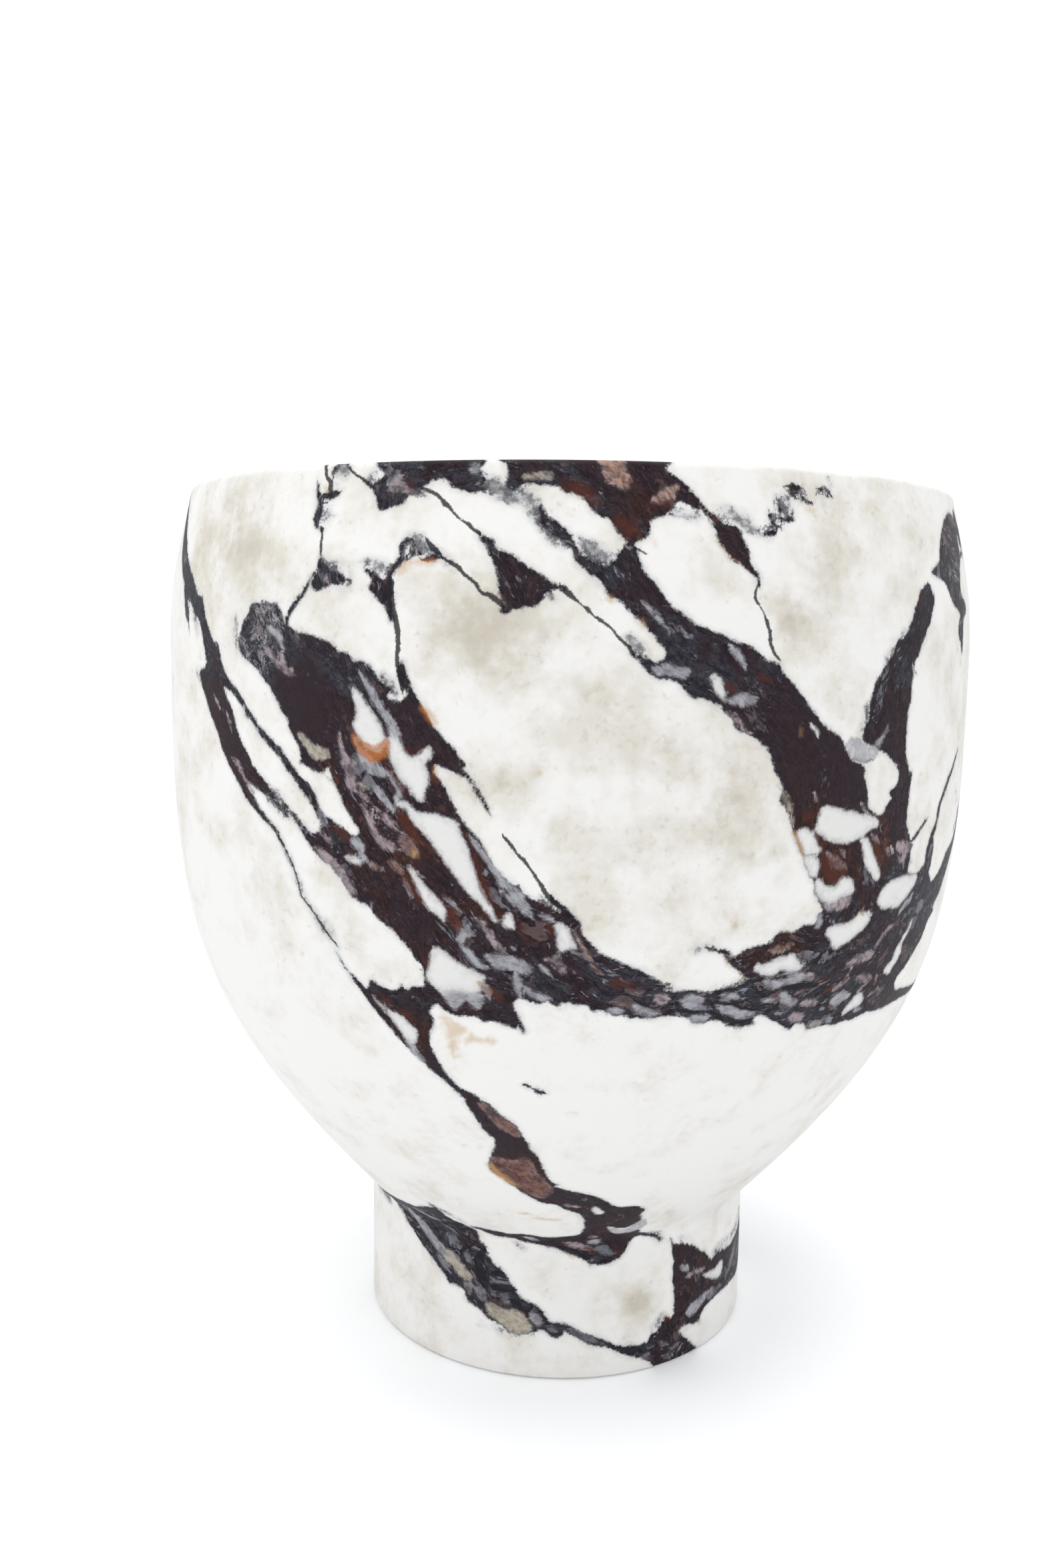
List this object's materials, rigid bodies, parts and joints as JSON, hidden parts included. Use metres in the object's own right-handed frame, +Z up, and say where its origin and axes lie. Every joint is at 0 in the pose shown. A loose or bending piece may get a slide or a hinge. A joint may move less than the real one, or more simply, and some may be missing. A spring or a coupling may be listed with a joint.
{
  "type": "vase",
  "caption": "Free-standing marble vase: a deep ovoid bowl with a wide open mouth, turned with a short plain foot, on a felt disc.",
  "frame": {"origin": "centre of the felt's underside, the face the vase stands on", "axes": "+Z up along the turning axis; -Y is the side that faces the camera in the picture, +X is its right"},
  "size_m": [0.2834, 0.2834, 0.3],
  "materials": {
    "marble": "honed and sealed; warm white ground with blue-black, plum and rust veins that enclose white fragments",
    "felt": "pressed grey wool felt"
  },
  "bodies": {
    "root": {"vase_body": "marble", "felt_pad": "felt"}
  },
  "joints": []
}
